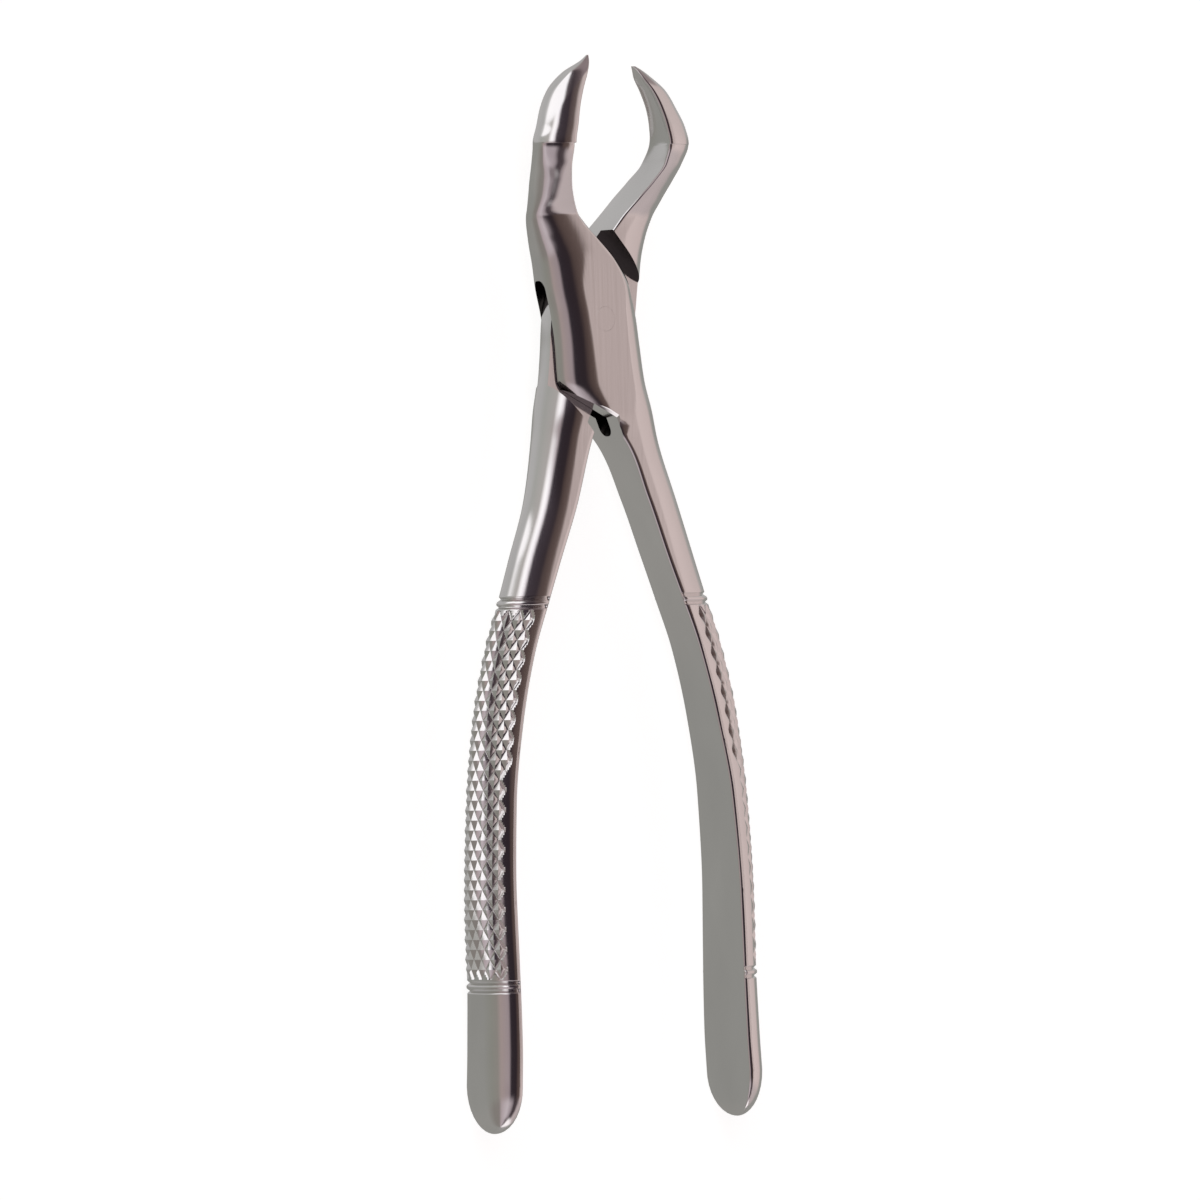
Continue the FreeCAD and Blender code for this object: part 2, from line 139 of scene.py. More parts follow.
# ---------------------------------------------------------------- the levers' outlines
def slopes(xs, values):
    """Slopes at the stations that never overshoot."""
    span = np.diff(xs)
    step = np.diff(values) / span
    out = np.zeros(len(xs))
    out[0], out[-1] = step[0], step[-1]
    for i in range(1, len(xs) - 1):
        a, b = step[i - 1], step[i]
        if a * b > 0:
            wa, wb = 2 * span[i] + span[i - 1], span[i] + 2 * span[i - 1]
            out[i] = (wa + wb) / (wa / a + wb / b)
    return out


def fair(xs, values, where):
    """The value of one column of a station table at each place in where."""
    tangents = slopes(xs, values)
    i = np.clip(np.searchsorted(xs, where, side="right") - 1, 0, len(xs) - 2)
    span = xs[i + 1] - xs[i]
    s = (where - xs[i]) / span
    r = 1 - s
    return (values[i] * (1 + 2 * s) * r ** 2 + values[i + 1] * s ** 2 * (3 - 2 * s)
            + span * s * r * (tangents[i] * r - tangents[i + 1] * s))


def station_table(body, side):
    """All stations of a lever in one table; the handles are set out about the tool's middle."""
    offset = -side * PIVOT_SIDE
    rows = [(x, reach + offset, reach + offset + depth, -half, half, EDGE_ROUND, depth - strip)
            for x, reach, depth, half, strip in HANDLE]
    return np.array(rows + body, float)


def sections(body, side, xs):
    """Low side, high side, back, front and roundings at every place, ends rounded off."""
    table = station_table(body, side)
    places = table[:, 0]
    inside = np.clip(xs, places[0], places[-1])
    low, high, back, front, low_round, high_round = (
        fair(places, table[:, c], inside) for c in range(1, 7))
    share = np.clip((places[0] - xs) / END_LENGTH, 0, 1)
    size = np.sqrt(1 - share ** 2)
    middle = low + PALM_SHARE * (high - low)
    strip = (high - low) - high_round
    low, high = middle + (low - middle) * size, middle + (high - middle) * size
    return low, high, back * size, front * size, low_round * size, high - low - strip * size


def corner(rw, rz, start, angles, power=ROUND):
    """A quarter of an outline, round or nearer to square, with the way it faces."""
    a = np.radians(start) + angles
    c, d = np.cos(a), np.sin(a)
    w = rw * np.sign(c) * np.abs(c) ** (2 / power)
    z = rz * np.sign(d) * np.abs(d) ** (2 / power)
    across = np.sign(c) * np.abs(c) ** (2 - 2 / power) / np.maximum(rw, 1e-3)
    along = np.sign(d) * np.abs(d) ** (2 - 2 / power) / np.maximum(rz, 1e-3)
    return w, z, np.arctan2(along, across)


def running_length(w, z):
    """Distance along each row of points from its start."""
    step = np.hypot(np.diff(w, axis=1), np.diff(z, axis=1))
    return np.concatenate([np.zeros((len(w), 1)), np.cumsum(step, axis=1)], axis=1)


def outer_side(high, back, front, high_round, high_rise, xs):
    """The outer side by distance round it, so that the knurling lands on the mesh."""
    angles = np.linspace(0, math.pi / 2, ARC_SAMPLES)[None, :]
    wa, za, na = corner(high_round, high_rise, -90, angles)
    wb, zb, nb = corner(high_round, high_rise, 0, angles)
    w = high - high_round + np.concatenate([wa, wb], axis=1)
    z = np.concatenate([back + high_rise + za, front - high_rise + zb], axis=1)
    facing = np.concatenate([na, nb], axis=1)
    arc = running_length(w, z)
    half = arc[:, -1:] / 2
    at_split = np.interp(np.clip(xs, RINGS_END, SPLIT), xs, half[:, 0])[:, None]
    cell = DIAMOND_WIDTH / DIAMOND_CELLS * half / at_split
    knurled = np.arange(-KNURLED // 2, KNURLED // 2 + 1)[None, :] * cell
    edge = np.linspace(0, 1, SMOOTH, endpoint=False)[None, :]
    first = -half + (knurled[:, :1] + half) * edge
    last = half - (half - knurled[:, -1:]) * edge[:, ::-1]
    wanted = np.concatenate([first, knurled, last], axis=1)[:, :-1]
    out = [np.empty_like(wanted) for _ in range(3)]
    for r in range(len(xs)):
        for result, known in zip(out, (w, z, facing)):
            result[r] = np.interp(wanted[r] + half[r], arc[r], known[r])
    return (*out, half[:, 0])


def outlines(body, side, xs):
    """Grid of points, rows along X and columns round the lever, with the way each faces."""
    low, high, back, front, low_round, high_round = (v[:, None] for v in sections(body, side, xs))
    x = xs[:, None]
    on_handle = 1 - smooth(*SHANK_TOP, x)
    on_beak = smooth(*NECK_ROOT, x)
    low_round = low_round + (INNER_BEVEL - EDGE_ROUND) * on_handle * low_round / EDGE_ROUND
    high_round = high_round * (1 + (BEAK_BEVEL - 1) * on_beak)
    half = (front - back) / 2
    gap = np.minimum(FLAT_GAP, half * FLAT_GAP_SHARE)
    low_rise = np.minimum(low_round * (1 - (1 - INNER_BEVEL_RISE) * on_handle), half - gap)
    high_rise = np.minimum(high_round * (1 - (1 - BEAK_BEVEL_RISE) * on_beak), half - gap)
    power = ROUND
    if side == BOX_SIDE:
        power = ROUND + BOX_SQUARER * smooth(*BOX_SQUARE_FROM, x) * (1 - smooth(*BOX_SQUARE_TO, x))
    w, z, facing = [], [], []

    def straight(w0, z0, w1, z1, count, degrees):
        t = np.arange(count)[None, :] / count
        w.append(w0 + (w1 - w0) * t)
        z.append(z0 + (z1 - z0) * t)
        facing.append(np.full_like(w[-1], math.radians(degrees)))

    def turn(cw, cz, rise, start, bend):
        angles = math.pi / 2 * np.arange(INNER_CORNER)[None, :] / INNER_CORNER
        dw, dz, way = corner(low_round, rise, start, angles, bend)
        w.append(cw + dw)
        z.append(cz + dz)
        facing.append(way)

    straight(low + low_round, back, high - high_round, back, BACK_FLAT, -90)
    ow, oz, way, arc = outer_side(high, back, front, high_round, high_rise, xs)
    w.append(ow)
    z.append(oz)
    facing.append(way)
    straight(high - high_round, front, low + low_round, front, FRONT_FLAT, 90)
    turn(low + low_round, front - low_rise, low_rise, 90, power)
    straight(low, front - low_rise, low, back + low_rise, INNER_FLAT, 180)
    turn(low + low_round, back + low_rise, low_rise, 180, ROUND)
    w, z, facing = (np.concatenate(v, axis=1) for v in (w, z, facing))
    return w, z, np.cos(facing), np.sin(facing), arc


def smooth(low, high, value):
    """0 below low, 1 above high, and a smooth step between."""
    t = np.clip((value - low) / (high - low), 0, 1)
    return t * t * (3 - 2 * t)


def knurl(first_row, rows, columns, arc, side):
    """Height of the knurled grip: whole diamonds between crossing grooves, on the outer side."""
    height = np.zeros((rows, columns))
    start = BACK_FLAT + SMOOTH
    i = np.arange(KNURL_ROWS + 1)[:, None]
    j = np.arange(-KNURLED // 2, KNURLED // 2 + 1)[None, :]
    cells = DIAMOND_CELLS
    cell = DIAMOND_WIDTH / cells
    room = arc[first_row:first_row + KNURL_ROWS + 1] - KNURL_MARGIN - DIAMOND_WIDTH / 2
    inside = np.zeros((len(i), j.size), bool)
    nudges = (-0.01, 0.01)             # a groove's own points belong to the diamonds beside it
    for da in nudges:
        for db in nudges:
            a = np.floor((i + j) / cells + 0.5 + da)
            b = np.floor((i - j) / cells + 0.5 + db)
            row = (cells // 2 * (a + b)).astype(int)
            across = np.abs(cells // 2 * (a - b)) * cell
            fits = (row >= cells // 2) & (row <= KNURL_ROWS - cells // 2)
            inside |= fits & (across <= room[np.clip(row, 0, KNURL_ROWS)])
    rise = [np.minimum(np.abs((i + way * j) % cells - cells / 2) / (cells / 2) * KNURL_STEEPER, 1)
            for way in (1, -1)]
    bump = KNURL_DEPTH * (np.minimum(*rise) - 1 + KNURL_PROUD)
    if side == BOX_SIDE:
        bump = bump * (1 - (1 - WORN) * smooth(*WORN_FADE, j * cell))
    height[first_row:first_row + KNURL_ROWS + 1, start:start + KNURLED + 1] = np.where(inside, bump, 0)
    return height


def grooves(xs, nw):
    """Depth of the four ring grooves, which stop short of the flat inner face."""
    depth = np.zeros(len(xs))
    for pair in GROOVES:
        for place in pair:
            depth = depth + np.clip(1 - np.abs(xs - place) / GROOVE_HALF, 0, 1)
        depth = depth - RIDGE_HEIGHT * np.clip(1 - np.abs(xs - sum(pair) / 2) / RIDGE_HALF, 0, 1)
    return -GROOVE_DEPTH * depth[:, None] * smooth(*GROOVE_FADE, nw)


def step_at_heel(xs, z, depth):
    """The ledge on the front where the neck meets the spoon."""
    drop = depth * smooth(HEEL - LEDGE_RUN, HEEL - 0.05, xs) * (xs < HEEL - 0.02)
    top = z.max(axis=1, keepdims=True)
    return z - drop[:, None] * smooth(*LEDGE_EDGE, z - top)


def hollow_spoon(xs, w, z, nw, tip, depth):
    """The scooped face of the spoon, deepest along its middle."""
    nose = 1 - smooth(tip - SPOON_NOSE[0], tip - SPOON_NOSE[1], xs)
    along = smooth(HEEL - SPOON_RUN, HEEL + SPOON_RUN, xs) * nose
    top, bottom = z.max(axis=1, keepdims=True), z.min(axis=1, keepdims=True)
    across = (2 * z - top - bottom) / (top - bottom - SPOON_RIM)
    return w - depth * along[:, None] * np.clip(1 - across ** 2, 0, 1) * (nw > SPOON_FACING)


# ---------------------------------------------------------------- meshes
def cell_faces(r, c, columns, knurl_row):
    """One cell of the grid, split along a groove of the knurling where one crosses it."""
    d = (c + 1) % columns
    a, b = r * columns + c, r * columns + d
    p, q = (r + 1) * columns + c, (r + 1) * columns + d
    j = c - BACK_FLAT - SMOOTH - KNURLED // 2
    if knurl_row is not None and -KNURLED // 2 <= j < KNURLED // 2:
        groove = DIAMOND_CELLS // 2
        if (knurl_row - j) % DIAMOND_CELLS == groove:
            return [(a, b, q), (a, q, p)]
        if (knurl_row + j + 1) % DIAMOND_CELLS == groove:
            return [(a, b, p), (b, q, p)]
    return [(a, b, q, p)]


def grid_mesh(xs, w, z, side, cap_end, first_knurl_row=None):
    """A tube from a grid of points, closed where it starts, in metres in the tool's frame."""
    rows, columns = w.shape
    points = np.empty((rows, columns, 3))
    points[..., 0] = xs[:, None]
    points[..., 1] = side * w
    points[..., 2] = z
    points = points.reshape(-1, 3) * MM + np.array(PIVOT)
    faces = []
    for r in range(rows - 1):
        knurl_row = None
        if first_knurl_row is not None and 0 <= r - first_knurl_row < KNURL_ROWS:
            knurl_row = r - first_knurl_row
        for c in range(columns):
            faces += cell_faces(r, c, columns, knurl_row)
    faces.append(tuple(range(columns)))
    if cap_end:
        faces.append(tuple((rows - 1) * columns + c for c in range(columns)))
    mesh = bpy.data.meshes.new("lever_mesh")
    mesh.from_pydata([tuple(p) for p in points], [], faces)
    fix_normals(mesh)
    return mesh


def fix_normals(mesh):
    """Turn every face outwards."""
    bm = bmesh.new()
    bm.from_mesh(mesh)
    bmesh.ops.recalc_face_normals(bm, faces=bm.faces)
    bm.to_mesh(mesh)
    bm.free()


def add_object(name, mesh):
    """A new object in the scene with this mesh."""
    thing = bpy.data.objects.new(name, mesh)
    bpy.context.scene.collection.objects.link(thing)
    return thing


def as_cutter(name, points, faces, slot):
    """A cutting tool. Its walls leave faces with this material slot, its two ends polished ones."""
    mesh = bpy.data.meshes.new(name)
    mesh.from_pydata([tuple(Vector(p) * MM + PIVOT) for p in points], [], faces)
    fix_normals(mesh)
    mesh.materials.append(polished)
    mesh.materials.append(shade_and_residue)
    mesh.polygons.foreach_set("material_index", [POLISHED_SLOT] * 2 + [slot] * (len(mesh.polygons) - 2))
    return add_object(name, mesh)


def tube_faces(rings, count):
    """Faces of a closed tube with so many rings of count points."""
    faces = [tuple(range(count)), tuple((rings - 1) * count + i for i in range(count))]
    for r in range(rings - 1):
        for i in range(count):
            j = (i + 1) % count
            faces.append((r * count + i, r * count + j, (r + 1) * count + j, (r + 1) * count + i))
    return faces


def prism(name, outline, low, high):
    """A cutter: a plan outline in millimetres about the pin, from low to high."""
    points = [(x, y, h) for h in (low, high) for x, y in outline]
    return as_cutter(name, points, tube_faces(2, len(outline)), SHADE_AND_RESIDUE_SLOT)


def slot_cutter():
    """The slot: a slab with rounded edges, turned to run through the box."""
    profile = []
    for cy, cz, start in ((1, 1, 0), (-1, 1, 90), (-1, -1, 180), (1, -1, 270)):
        for k in range(SLOT_CORNER_STEPS):
            a = math.radians(start + SLOT_CORNER_STEP * k)
            profile.append((cy * (SLOT_REACH - SLOT_END) + SLOT_END * math.cos(a),
                            cz * (SLOT_HALF - SLOT_END) + SLOT_END * math.sin(a)))
    turn = Matrix.Rotation(math.radians(SLOT_TURN), 4, "Z")
    points = [turn @ Vector((x, y, z)) for x in (-FAR, FAR) for y, z in profile]
    return as_cutter("slot", points, tube_faces(2, len(profile)), SHADE_AND_RESIDUE_SLOT)


def bore_cutter(radius):
    """The hole for the pin, right through."""
    outline = [(radius * math.cos(a), radius * math.sin(a))
               for a in np.linspace(0, 2 * math.pi, ROUND_SIDES, endpoint=False)]
    return prism("bore", outline, -BORE_HALF, BORE_HALF)


def relief_cutters():
    """What is taken off above and below the tongue, between its two shoulders."""
    wide = 26                          # past both sides of the steel
    ends = []
    for reach, turn in SHOULDERS:
        normal = Vector((math.cos(math.radians(turn)), math.sin(math.radians(turn))))
        across = Vector((-normal.y, normal.x))
        ends.append((normal * reach + across * wide, normal * reach - across * wide))
    (a, b), (c, d) = ends
    outline = [tuple(a), tuple(b), tuple(c), tuple(d)]
    return [prism("relief_front", outline, TONGUE_HALF, BEYOND),
            prism("relief_back", outline, -BEYOND, -TONGUE_HALF)]


def cheek_cutter():
    """The slanted end of both cheeks, with its outer edges bevelled bright."""
    corner_at, crotch, inner = Vector(CHEEK_CORNER), Vector(CROTCH), Vector(INNER)
    along = corner_at - crotch
    into = Vector((along.y, -along.x)).normalized()
    below = inner + Vector((-2.0, 1.5))
    over = 3                           # the bevel's slope goes on this far past the cheek's face
    outer, inner_edge = CHEEK_HALF + over, CHEEK_HALF - CHEEK_BEVEL
    levels = ((-BEYOND, CHEEK_BEVEL + over), (-outer, CHEEK_BEVEL + over), (-inner_edge, 0),
              (inner_edge, 0), (outer, CHEEK_BEVEL + over), (BEYOND, CHEEK_BEVEL + over))
    points = []
    for height, shift in levels:
        near, far = crotch + into * shift, corner_at + along + into * shift
        for p in (near, far, Vector((below.x, far.y)), below, inner):
            points.append((p.x, p.y, height))
    return as_cutter("cheek_end", points, tube_faces(len(levels), 5), POLISHED_SLOT)


def cut(mesh, cutters):
    """The mesh with every cutter taken off it."""
    mesh.materials.append(polished)
    mesh.materials.append(shade_and_residue)
    thing = add_object("blank", mesh)
    for tool in cutters:
        change = thing.modifiers.new(tool.name, "BOOLEAN")
        change.operation = "DIFFERENCE"
        change.solver = "EXACT"
        change.object = tool
    graph = bpy.context.evaluated_depsgraph_get()
    result = bpy.data.meshes.new_from_object(thing.evaluated_get(graph))
    for old in [thing] + cutters:
        bpy.data.objects.remove(old)
    return result


def join(meshes, name):
    """One mesh from several that meet in the same ring of points."""
    bm = bmesh.new()
    for mesh in meshes:
        bm.from_mesh(mesh)
    bmesh.ops.remove_doubles(bm, verts=bm.verts, dist=WELD)
    bmesh.ops.recalc_face_normals(bm, faces=bm.faces)
    result = bpy.data.meshes.new(name)
    bm.to_mesh(result)
    bm.free()
    return result


def grip_rows():
    """Places along the grip and pommel, close together only where there is detail."""
    start = HANDLE[0][0]
    pitch = DIAMOND_LENGTH / DIAMOND_CELLS
    end = [start - END_LENGTH * math.sin(math.radians(a))
           for a in (88, 84, 78, 70, 60, 50, 40, 30, 20, 10)]
    palm = np.linspace(start, RINGS_END, 20, endpoint=False)
    knurled = KNURL_TOP - pitch * np.arange(KNURL_ROWS, -1, -1)
    rings_low = np.linspace(RINGS_END, knurled[0], 30, endpoint=False)
    rings_high = np.linspace(KNURL_TOP, SPLIT, 16)[1:]
    first_knurl_row = len(end) + len(palm) + len(rings_low)
    return np.concatenate([end, palm, rings_low, knurled, rings_high]), first_knurl_row


def front_rows(tip):
    """Places along the shank, joint and beak, closest together at the grooves, heel and tip."""
    return np.unique(np.concatenate([
        np.linspace(SPLIT, -44.4, 17), np.arange(-44.0, 12.0, 0.7), np.arange(12.0, HEEL - 0.3, 0.35),
        [HEEL - 0.3, HEEL - 0.1, HEEL - 0.04, HEEL + 0.02, HEEL + 0.15],
        np.arange(HEEL + 0.4, tip - 1.0, 0.3), np.linspace(tip - 1.0, tip, 12)]))


def build_lever(name, body, side, cutters, ledge, scoop):
    """One forged lever: grip and pommel as a fine grid, joint and beak cut from a blank."""
    tip = body[-1][0]
    rows, first_knurl_row = grip_rows()
    beyond = front_rows(tip)
    every = np.concatenate([rows, beyond[1:]])
    w, z, nw, nz, arc = outlines(body, side, every)
    height = knurl(first_knurl_row, *w.shape, arc, side) + grooves(every, nw)
    w, z = w + height * nw, z + height * nz
    if side == BOX_SIDE:
        cheek = (every[:, None] > CHEEK_SPAN[0]) & (every[:, None] < CHEEK_SPAN[1])
        z = np.where(cheek, np.clip(z, -CHEEK_HALF, CHEEK_HALF), z)
    z = step_at_heel(every, z, ledge)
    w = hollow_spoon(every, w, z, nw, tip, scoop)
    last = len(rows) - 1
    grip = grid_mesh(rows, w[:last + 1], z[:last + 1], side, False, first_knurl_row)
    front = cut(grid_mesh(beyond, w[last:], z[last:], side, True), cutters)
    remove_cap(front, SPLIT)
    return add_object(name, join([grip, front], name))


def remove_cap(mesh, place):
    """Open the end of a blank again where it meets the grip."""
    bm = bmesh.new()
    bm.from_mesh(mesh)
    at = place * MM + PIVOT.x
    caps = [f for f in bm.faces if all(abs(v.co.x - at) < 1e-6 for v in f.verts)]
    bmesh.ops.delete(bm, geom=caps, context="FACES")
    bm.to_mesh(mesh)
    bm.free()


def finish_edges(thing):
    """Smooth shading, with the sharper edges kept crisp."""
    mesh = thing.data
    mesh.polygons.foreach_set("use_smooth", [True] * len(mesh.polygons))
    mesh.set_sharp_from_angle(angle=math.radians(SHARP_ANGLE))


def build_pin():
    """The rivet, ground flush, with a hair of a chamfer at each end."""
    half, inset, radius = CHEEK_HALF, PIN_CHAMFER, PIN_RADIUS - PIN_PLAY
    profile = [(0, -half), (PIN_RADIUS - inset, -half), (radius, -half + inset),
               (radius, half - inset), (PIN_RADIUS - inset, half), (0, half)]
    bm = bmesh.new()
    verts = [bm.verts.new((r, 0, h)) for r, h in profile]
    edges = [bm.edges.new(pair) for pair in zip(verts, verts[1:])]
    bmesh.ops.spin(bm, geom=verts + edges, cent=(0, 0, 0), axis=(0, 0, 1), angle=2 * math.pi,
                   steps=ROUND_SIDES)
    bmesh.ops.remove_doubles(bm, verts=bm.verts, dist=1e-4)
    bmesh.ops.recalc_face_normals(bm, faces=bm.faces)
    for v in bm.verts:
        v.co = v.co * MM + PIVOT
    mesh = bpy.data.meshes.new("pin_mesh")
    bm.to_mesh(mesh)
    bm.free()
    return add_object("pivot_rivet", mesh)


# ---------------------------------------------------------------- materials
MARK_DEPTH = 0.00005                   # metres


def new_material(name):
    """A material with nodes, and its shader."""
    material = bpy.data.materials.new(name)
    material.use_nodes = True
    return material, material.node_tree.nodes["Principled BSDF"]


def polish_noise(nodes, links, scale, stretch, detail):
    """Fine marks drawn out along the lever, as a polishing wheel leaves them."""
    place = nodes.new("ShaderNodeTexCoord")
    mapping = nodes.new("ShaderNodeMapping")
    mapping.inputs["Scale"].default_value = stretch
    noise = nodes.new("ShaderNodeTexNoise")
    noise.inputs["Scale"].default_value = scale
    noise.inputs["Detail"].default_value = detail
    links.new(place.outputs["Object"], mapping.inputs["Vector"])
    links.new(mapping.outputs["Vector"], noise.inputs["Vector"])
    return noise.outputs["Fac"]


def ramp(nodes, links, source, stops):
    """Colours at their places, mixed between."""
    node = nodes.new("ShaderNodeValToRGB")
    band = node.color_ramp
    while len(band.elements) < len(stops):
        band.elements.new(0.5)
    for element, (place, colour) in zip(band.elements, stops):
        element.position = place
        element.color = (*colour, 1.0)
    links.new(source, node.inputs["Fac"])
    return node.outputs["Color"]


def steel(name, colour, rough, marks):
    """Steel with a slightly uneven tone and polish, and fine marks along its length."""
    material, shader = new_material(name)
    nodes, links = material.node_tree.nodes, material.node_tree.links
    shader.inputs["Metallic"].default_value = 1.0
    shader.inputs["IOR"].default_value = 2.5
    lines = polish_noise(nodes, links, 900.0, (0.05, 1.0, 1.0), 4.0)
    cloud = polish_noise(nodes, links, 120.0, (0.4, 1.0, 1.0), 3.0)
    dark = tuple(c * 0.93 for c in colour)
    links.new(ramp(nodes, links, cloud, [(0.3, dark), (0.7, colour)]), shader.inputs["Base Color"])
    spread = nodes.new("ShaderNodeMapRange")
    spread.inputs["To Min"].default_value = rough * 0.75
    spread.inputs["To Max"].default_value = rough * 1.3
    links.new(cloud, spread.inputs["Value"])
    links.new(spread.outputs["Result"], shader.inputs["Roughness"])
    bump = nodes.new("ShaderNodeBump")
    bump.inputs["Strength"].default_value = marks
    bump.inputs["Distance"].default_value = MARK_DEPTH
    links.new(lines, bump.inputs["Height"])
    links.new(bump.outputs["Normal"], shader.inputs["Normal"])
    return material


# ---------------------------------------------------------------- light, floor, camera
VIEW_TILT = math.radians(40.0)         # the camera stands this far round from the front face
VIEW_ROLL = math.radians(1.6)
VIEW_DISTANCE = 1.5
FRAME_WIDTH = 0.1954                   # what the frame spans at the pin
TARGET_ALONG, TARGET_ACROSS = -0.0456, 0.00085  # the frame's middle, from the pin
SENSOR = 36.0
FLOOR_SIZE, FLOOR_DROP = 4.0, 0.0002   # the floor lies just clear of the handles' lowest points
FLOOR_GLOW = 0.84
MIRROR_SHARE = 0.96                    # of the light from straight ahead, what the steel returns

# What polished steel shows of the studio, in sRGB, by the direction that it looks in: degrees
# round from straight up towards +Y. The lists run from the most towards the grips to the most
# towards the beaks, and hold light and dark cards round the tool.
STUDIO_LOW = [
    (-180, (140, 138, 134)), (-92, (150, 146, 144)), (-75, (246, 238, 239)), (-22, (248, 240, 241)),
    (-6, (112, 101, 102)), (8, (104, 94, 96)), (20, (172, 160, 164)), (50, (166, 152, 154)),
    (62, (128, 121, 117)), (90, (126, 121, 116)), (130, (142, 140, 136)), (180, (140, 138, 134)),
]
STUDIO_BELOW = [
    (-180, (140, 138, 134)), (-92, (140, 138, 134)), (-80, (170, 158, 157)), (-40, (182, 168, 168)),
    (-33, (150, 137, 138)), (-26, (70, 60, 63)), (-12, (62, 53, 57)), (0, (150, 138, 142)),
    (20, (186, 174, 178)), (50, (166, 152, 154)), (62, (128, 121, 117)), (90, (126, 121, 116)),
    (130, (142, 140, 136)), (180, (140, 138, 134)),
]
STUDIO_LEVEL = [
    (-180, (138, 137, 133)), (-95, (140, 138, 134)), (-84, (190, 173, 170)), (-42, (200, 183, 180)),
    (-35, (92, 77, 73)), (-22, (76, 62, 59)), (-15, (42, 34, 38)), (9, (44, 37, 42)),
    (17, (146, 132, 135)), (50, (155, 140, 137)), (66, (134, 129, 123)), (90, (132, 131, 124)),
    (130, (138, 137, 133)), (180, (138, 137, 133)),
]
STUDIO_ABOVE = [
    (-180, (172, 170, 169)), (-95, (165, 162, 160)), (-84, (186, 171, 168)), (-42, (191, 176, 173)),
    (-35, (96, 83, 80)), (-22, (80, 68, 68)), (-15, (54, 46, 51)), (9, (62, 54, 60)),
    (17, (236, 228, 232)), (25, (255, 252, 253)), (33, (236, 230, 231)), (42, (166, 161, 158)),
    (90, (158, 157, 153)), (130, (168, 166, 165)), (180, (172, 170, 169)),
]
STUDIO_HIGH = [
    (-180, (172, 170, 169)), (-95, (150, 146, 144)), (-84, (140, 128, 126)), (-42, (128, 114, 116)),
    (-30, (88, 76, 78)), (-15, (60, 52, 56)), (0, (84, 75, 79)), (10, (252, 248, 250)),
    (88, (252, 248, 249)), (108, (182, 179, 178)), (130, (168, 166, 165)), (180, (172, 170, 169)),
]
# each list, and the share of X in the direction over which it takes over from the one before
STUDIO = [
    (STUDIO_LOW, None), (STUDIO_BELOW, (-0.92, -0.8)), (STUDIO_LEVEL, (-0.5, -0.22)),
    (STUDIO_ABOVE, (0.06, 0.2)), (STUDIO_HIGH, (0.5, 0.56)),
]


def light_for(colour):
    """The light that polished steel shows as this sRGB colour."""
    linear = [(c / 255 / 12.92) if c <= 10 else ((c / 255 + 0.055) / 1.055) ** 2.4 for c in colour]
    return tuple(v / (MIRROR_SHARE * s) for v, s in zip(linear, STEEL))


def build_world():
    """The studio all round: light and dark bands, fixed in direction."""
    world = bpy.data.worlds.new("studio")
    bpy.context.scene.world = world
    world.use_nodes = True
    nodes, links = world.node_tree.nodes, world.node_tree.links
    background = nodes["Background"]
    place = nodes.new("ShaderNodeTexCoord")
    parts = nodes.new("ShaderNodeSeparateXYZ")
    links.new(place.outputs["Generated"], parts.inputs["Vector"])
    turn = nodes.new("ShaderNodeMath")
    turn.operation = "ARCTAN2"
    links.new(parts.outputs["Y"], turn.inputs[0])
    links.new(parts.outputs["Z"], turn.inputs[1])
    share = nodes.new("ShaderNodeMapRange")
    share.inputs["From Min"].default_value = -math.pi
    share.inputs["From Max"].default_value = math.pi
    links.new(turn.outputs["Value"], share.inputs["Value"])
    mixed = None
    for bands, span in STUDIO:
        stops = [((degrees + 180) / 360, light_for(colour)) for degrees, colour in bands]
        light = ramp(nodes, links, share.outputs["Result"], stops)
        if span is None:
            mixed = light
            continue
        step = nodes.new("ShaderNodeMapRange")
        step.interpolation_type = "SMOOTHSTEP"
        step.inputs["From Min"].default_value, step.inputs["From Max"].default_value = span
        links.new(parts.outputs["X"], step.inputs["Value"])
        mix = nodes.new("ShaderNodeMix")
        mix.data_type = "RGBA"
        links.new(step.outputs["Result"], mix.inputs["Factor"])
        links.new(mixed, mix.inputs["A"])
        links.new(light, mix.inputs["B"])
        mixed = mix.outputs["Result"]
    links.new(mixed, background.inputs["Color"])


def build_floor():
    """A pale floor, lit evenly from within as a light table is, and matt."""
    bpy.ops.mesh.primitive_plane_add(size=FLOOR_SIZE, location=(0, 0, -FLOOR_DROP))
    floor = bpy.context.object
    floor.name = "floor"
    material, shader = new_material("pale_floor")
    shader.inputs["Base Color"].default_value = (0.5, 0.5, 0.49, 1)
    shader.inputs["Roughness"].default_value = 0.9
    shader.inputs["Specular IOR Level"].default_value = 0.0
    shader.inputs["Emission Color"].default_value = (1.0, 1.0, 1.0, 1)
    shader.inputs["Emission Strength"].default_value = FLOOR_GLOW
    floor.data.materials.append(material)
    floor.visible_glossy = False


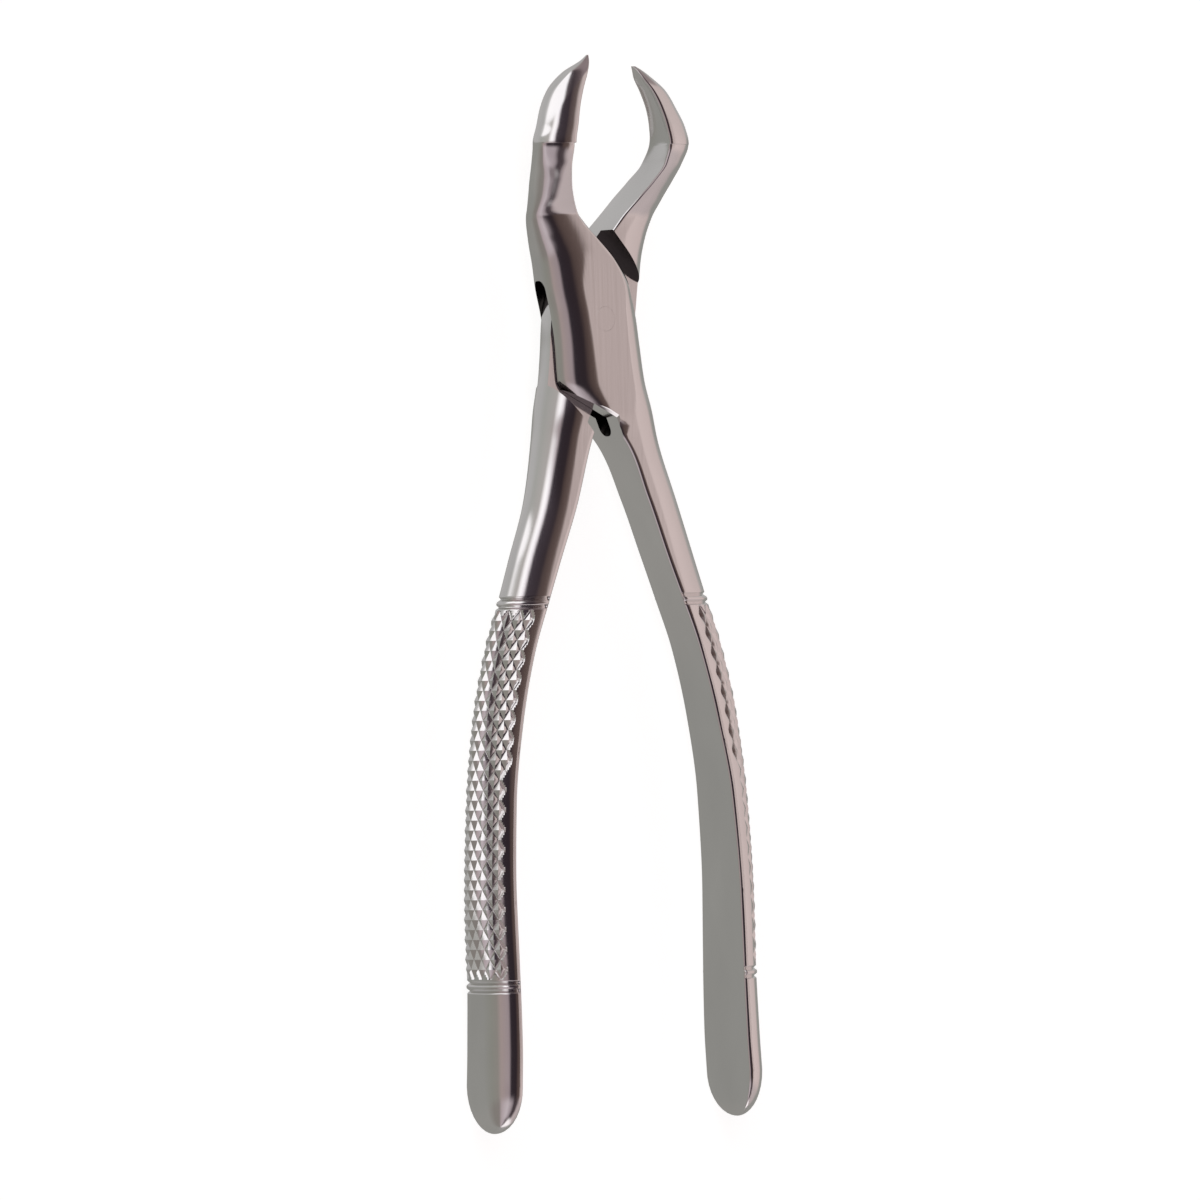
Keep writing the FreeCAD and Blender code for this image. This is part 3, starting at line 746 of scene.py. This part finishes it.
def build_camera():
    """The camera, tilted round from the front face, with the beaks at the top."""
    away = Vector((0, math.sin(VIEW_TILT), math.cos(VIEW_TILT)))
    level = Vector((0, -math.cos(VIEW_TILT), math.sin(VIEW_TILT)))
    along = Vector((1, 0, 0))
    up = along * math.cos(VIEW_ROLL) + level * math.sin(VIEW_ROLL)
    right = level * math.cos(VIEW_ROLL) - along * math.sin(VIEW_ROLL)
    middle = Vector((PIVOT.x, 0, PIVOT.z))
    target = middle + up * TARGET_ALONG + right * TARGET_ACROSS
    camera = bpy.data.objects.new("camera", bpy.data.cameras.new("camera"))
    bpy.context.scene.collection.objects.link(camera)
    camera.matrix_world = Matrix.Translation(target + away * VIEW_DISTANCE) @ Matrix(
        (right, up, away)).transposed().to_4x4()
    camera.data.sensor_width = SENSOR
    camera.data.lens = SENSOR * VIEW_DISTANCE / FRAME_WIDTH
    camera.data.clip_start = 0.05
    camera.data.clip_end = 20.0
    bpy.context.scene.camera = camera


# ---------------------------------------------------------------- the scene
STEEL = (0.90, 0.89, 0.885)
polished = steel("polished_steel", STEEL, 0.12, 0.10)
# Near-black steel for the faces inside the joint: painted shade where the slot, bore and relief walls
# lie in shadow, and partly residue.
shade_and_residue = steel("joint_painted_shade_and_residue", (0.05, 0.045, 0.044), 0.32, 0.05)

build_camera()
build_world()
build_floor()

box_cutters = [slot_cutter(), cheek_cutter(), bore_cutter(PIN_RADIUS)]
box_lever = build_lever("box_lever_forging", BOX_BODY, BOX_SIDE, box_cutters, ledge=0.5, scoop=0.7)
tongue_cutters = relief_cutters() + [bore_cutter(TONGUE_BORE)]
tongue_lever = build_lever("tongue_lever_forging", TONGUE_BODY, TONGUE_SIDE, tongue_cutters,
                           ledge=0.25, scoop=0.5)
rivet = build_pin()

PIECES = (
    (box_lever, "box_body", "box_lever"),
    (tongue_lever, "tongue_body", "tongue_lever"),
    (rivet, "box_body", "pivot_pin"),
)
for piece, body, node in PIECES:
    finish_edges(piece)
    piece.data.materials.append(polished)
    if piece is not rivet:
        piece.data.materials.append(shade_and_residue)
    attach(piece, body)
    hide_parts(node)

bpy.context.scene.view_settings.view_transform = "Standard"
